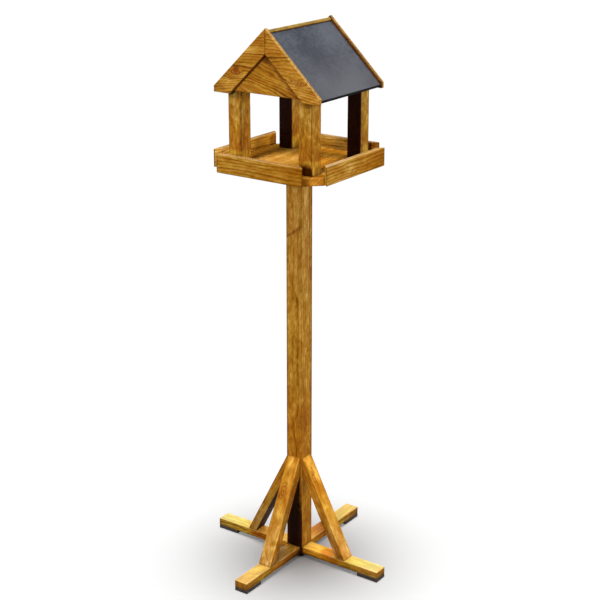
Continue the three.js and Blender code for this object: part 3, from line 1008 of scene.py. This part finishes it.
# %% Slate finish
SLATE_DARK = rgb(40, 43, 50)
SLATE_PALE = rgb(74, 77, 84)
SLATE_DUST = rgb(78, 77, 80)
EAVES_SHADOW_LINE = rgb(3, 3, 4)
SLATE_EDGE_SHADE = rgb(10, 10, 12)
SLATE_CORNER_SHADE = rgb(22, 22, 26)
SLATE_UNDERSIDE_SHADE = rgb(9, 9, 11)
SHADOW_LINE_FROM = 3.4 * MM
SHADOW_LINE_TO = 2.6 * MM
RIDGE_HEIGHT = 1.40
EAVES_HEIGHT = 1.26

slate, tree, shader = new_material("slate")
in_frame = frame_place(tree)
mottle = cloud(tree, in_frame, (95.0, 75.0, 95.0), 5.0, 0.7)
grit = cloud(tree, in_frame, 600.0)
tone = nudge(tree, cloud(tree, in_frame, (10.0, 7.0, 10.0)), mottle, 0.9)
tone = nudge(tree, tone, grit, 0.6)
colour = blend(tree, smooth_step(tree, tone, 0.2, 0.8), SLATE_DARK, SLATE_PALE)
downhill = smooth_step(tree, coordinate(tree, in_frame, "Z"), RIDGE_HEIGHT, EAVES_HEIGHT, 0.0, 0.55)
colour = blend(tree, downhill, colour, SLATE_DUST)
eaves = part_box("roof_slate_right")[1].x
from_middle = sums(tree, "ABSOLUTE", coordinate(tree, in_frame, "X"))
# The band along the lower edge is a painted shadow line, and it is also rough.
dressed = smooth_step(tree, from_middle, eaves - SHADOW_LINE_FROM, eaves - SHADOW_LINE_TO)
colour = blend(tree, dressed, colour, EAVES_SHADOW_LINE)
# Painted shade on the edges that don't face the sky, in the corners and on the undersides.
arris = use_group(tree, arris_group, {"Width": 3.0 * MM})
colour = paint_over(tree, arris.outputs["Dirt And Shade"], 0.9, colour, SLATE_EDGE_SHADE)
corner = use_group(tree, corner_group, {"Reach": 20 * MM})
colour = paint_over(tree, corner.outputs["Corner Shade"], 0.7, colour, SLATE_CORNER_SHADE)
downward = smooth_step(tree, coordinate(tree, face_normal(tree), "Z"), 0.3, -0.1)
colour = blend(tree, downward, colour, SLATE_UNDERSIDE_SHADE)
roughness = smooth_step(tree, mottle, 0.3, 0.7, 0.50, 0.72)
coat(tree, shader, colour, sums(tree, "MAXIMUM", roughness, dressed), specular=0.10)
emboss(tree, shader, sums(tree, "MULTIPLY_ADD", grit, 0.3, mottle), 0.4, 0.8 * MM)
for side in ("right", "left"):
    dress("roof_slate_" + side, slate, SLATE_ARRIS)
print("slates dressed")

# %% Rubber finish
RUBBER_DARK = rgb(34, 30, 29)
RUBBER_PALE = rgb(74, 66, 62)
RUBBER_SCUFF = rgb(110, 102, 96)
FLOOR_DUST = rgb(96, 86, 74)
DUST_HEIGHT = 3.0 * MM

rubber, tree, shader = new_material("rubber")
in_frame = frame_place(tree)
scuffs = cloud(tree, in_frame, (130.0, 130.0, 260.0), 4.0, 0.65)
grains = cloud(tree, in_frame, 900.0)
colour = blend(tree, smooth_step(tree, scuffs, 0.35, 0.75), RUBBER_DARK, RUBBER_PALE)
arris = use_group(tree, arris_group, {"Width": 2.0 * MM})
colour = paint_over(tree, arris.outputs["Worn And Highlit"], 0.6, colour, RUBBER_SCUFF)
dusty = smooth_step(tree, coordinate(tree, in_frame, "Z"), DUST_HEIGHT, 0.0)
colour = paint_over(tree, dusty, scuffs, colour, FLOOR_DUST)
coat(tree, shader, colour, smooth_step(tree, scuffs, 0.3, 0.7, 0.62, 0.82), specular=0.2)
emboss(tree, shader, sums(tree, "MULTIPLY_ADD", scuffs, 0.5, grains), 0.4, 0.3 * MM)
for side in QUARTERS:
    dress("foot_pad_" + side, rubber, PAD_ARRIS)
print("rubber dressed")

# %% Steel finish
ZINC_DARK = rgb(138, 136, 128)
ZINC_PALE = rgb(186, 182, 170)
RUST = rgb(112, 84, 52)

steel, tree, shader = new_material("zinc-plated steel")
in_frame = frame_place(tree)
spangle = cloud(tree, in_frame, 700.0, 3.0, 0.6)
tarnish = cloud(tree, in_frame, 220.0, 3.0)
colour = blend(tree, smooth_step(tree, spangle, 0.3, 0.7), ZINC_DARK, ZINC_PALE)
colour = blend(tree, smooth_step(tree, tarnish, 0.52, 0.75), colour, RUST)
coat(tree, shader, colour, smooth_step(tree, tarnish, 0.3, 0.7, 0.34, 0.62))
shader.inputs["Metallic"].default_value = 1.0
emboss(tree, shader, spangle, 0.3, 0.1 * MM)
print("steel:", len(tree.nodes), "nodes")

# %% Nails under the stain
FILM_DARK = rgb(190, 130, 44)
FILM_PALE = rgb(222, 168, 78)

stained_nail, tree, shader = new_material("stained-over nail")
film = cloud(tree, frame_place(tree), 500.0, 3.0, 0.6)
colour = blend(tree, smooth_step(tree, film, 0.3, 0.7), FILM_DARK, FILM_PALE)
coat(tree, shader, colour, smooth_step(tree, film, 0.3, 0.7, 0.50, 0.70), specular=0.06)
emboss(tree, shader, film, 0.4, 0.1 * MM)
for name in nodes:
    if "screw" in name:
        paint(name, steel)
    if "nail" in name:
        paint(name, stained_nail)
print("fastenings dressed")

# %% [markdown]
# ## Floor and world
#
# The photograph has a white ground with a soft grey shadow round the feet, and nothing else. So the floor
# is one wide disc, as pale as two lamps of its own make it: just over white where both reach it, and grey
# where the table stands in their way. It looks pale to the camera and in reflections, but it is darker to
# the light that bounces off it, because the undersides in the photograph are dark. The world is treated the
# same way.

# %% Floor
FLOOR_RADIUS = 60.0
FLOOR_CORNERS = 96
FLOOR_SEEN = 0.502
FLOOR_BOUNCE = 0.05


def seen_directly(tree):
    """One for the rays that show a surface to the eye: straight, by reflection or through glass."""
    ray = add(tree, "LightPath")
    seen = sums(tree, "MAXIMUM", ray.outputs["Is Camera Ray"], ray.outputs["Is Glossy Ray"])
    return sums(tree, "MAXIMUM", seen, ray.outputs["Is Transmission Ray"])


floor_mesh = bpy.data.meshes.new("floor")
disc = bmesh.new()
bmesh.ops.create_circle(disc, cap_ends=True, segments=FLOOR_CORNERS, radius=FLOOR_RADIUS)
disc.to_mesh(floor_mesh)
disc.free()
floor = bpy.data.objects.new("floor", floor_mesh)
scene.collection.objects.link(floor)
floor_paint, tree, shader = new_material("pale floor")
floor_colour = blend(tree, seen_directly(tree), (*[FLOOR_BOUNCE] * 3, 1.0), (*[FLOOR_SEEN] * 3, 1.0))
coat(tree, shader, floor_colour, roughness=1.0, specular=0.0)
floor_mesh.materials.append(floor_paint)
print("floor radius:", FLOOR_RADIUS)

# %% World
WORLD_FILL = 0.02
world = bpy.data.worlds.new("studio")
scene.world = world
world.use_nodes = True
tree = world.node_tree
background = tree.nodes["Background"]
background.inputs["Color"].default_value = (1, 1, 1, 1)
strength = sums(tree, "MULTIPLY_ADD", seen_directly(tree), 1.0 - WORLD_FILL, WORLD_FILL)
wire(tree, strength, background.inputs["Strength"])
print("world fill:", WORLD_FILL)

# %% [markdown]
# ## Lamps
#
# The lamps are wide, far soft boxes, made as suns, so that the light doesn't fall off over the floor. The
# photograph tells where they are. Faces to the front and to the right are equally bright, and tops are more
# than twice as bright. So there is a low lamp in front, a low one on the right that shines in under the
# eaves, and one overhead. A soft one at the back keeps the other sides readable.
#
# In a studio, flags and cards keep a lamp off one piece or add a little to another. Light linking does the
# same: each lamp may skip some pieces, light only a few, or pass through some without a shadow. Here the
# front lamp skips the rear posts, which are dark in the photograph. The tray's floor is bright there, but
# the roof keeps the overhead lamp off it, so it gets a lamp of its own. The floor of the studio has two,
# straight above, so that the tray leaves one round soft shadow on it and no long ones. The second passes
# the feet and braces, and keeps the line under them light.

# %% Lamps
LAMP_DISTANCE = 3.0
STRAIGHT_ABOVE = 88.5


def light_links(name, pieces, state="EXCLUDE"):
    """A collection that keeps the given pieces out of what a lamp does, or keeps it to them alone."""
    links = bpy.data.collections.new(name)
    for piece in pieces:
        links.objects.link(floor if piece == "floor" else nodes[piece])
    for entry in links.collection_objects:
        entry.light_linking.link_state = state
    return links


def add_lamp(name, azimuth, elevation, level, spread, unlit=(), only=(), no_shadow=()):
    """A far lamp, all angles in degrees. A white face turned to it would show the level given."""
    lamp = bpy.data.lights.new(name, "SUN")
    lamp.energy = level * math.pi
    lamp.angle = math.radians(spread)
    holder = bpy.data.objects.new(name, lamp)
    scene.collection.objects.link(holder)
    holder.location = AIM + LAMP_DISTANCE * towards(math.radians(azimuth), math.radians(elevation))
    face(holder, AIM)
    if unlit:
        holder.light_linking.receiver_collection = light_links(name + " skips", unlit)
    if only:
        holder.light_linking.receiver_collection = light_links(name + " lights", only, "INCLUDE")
    if no_shadow:
        holder.light_linking.blocker_collection = light_links(name + " passes", no_shadow)
    print(name, "level", level)


add_lamp("front lamp", azimuth=0, elevation=16, level=0.76, spread=14,
         unlit=["floor", "roof_post_right_back", "roof_post_left_back"])
add_lamp("right lamp", azimuth=105, elevation=5, level=0.78, spread=16, unlit=["floor"],
         no_shadow=["brace_right", "tray_rim_right", "roof_post_left_front", "roof_post_left_back"])
add_lamp("overhead lamp", azimuth=35, elevation=89, level=1.65, spread=26, unlit=["floor"],
         no_shadow=["brace_right", "brace_back", "brace_left"])
add_lamp("back lamp", azimuth=215, elevation=15, level=0.50, spread=40, unlit=["floor"])
add_lamp("tray lamp", azimuth=5, elevation=42, level=0.75, spread=20, only=["tray_floor"])
add_lamp("floor lamp", azimuth=215, elevation=STRAIGHT_ABOVE, level=1.2, spread=22.5, only=["floor"])
low_timbers = [kind + side for kind in ("foot_", "brace_") for side in QUARTERS]
add_lamp("floor glow", azimuth=215, elevation=STRAIGHT_ABOVE, level=0.8, spread=22.5, only=["floor"],
         no_shadow=low_timbers)

# %% [markdown]
# ## Picture
#
# The colours above are given as a plain picture shows them, so the view adds no film-like curve.

# %% Picture settings
scene.view_settings.view_transform = "Standard"
print("view transform:", scene.view_settings.view_transform)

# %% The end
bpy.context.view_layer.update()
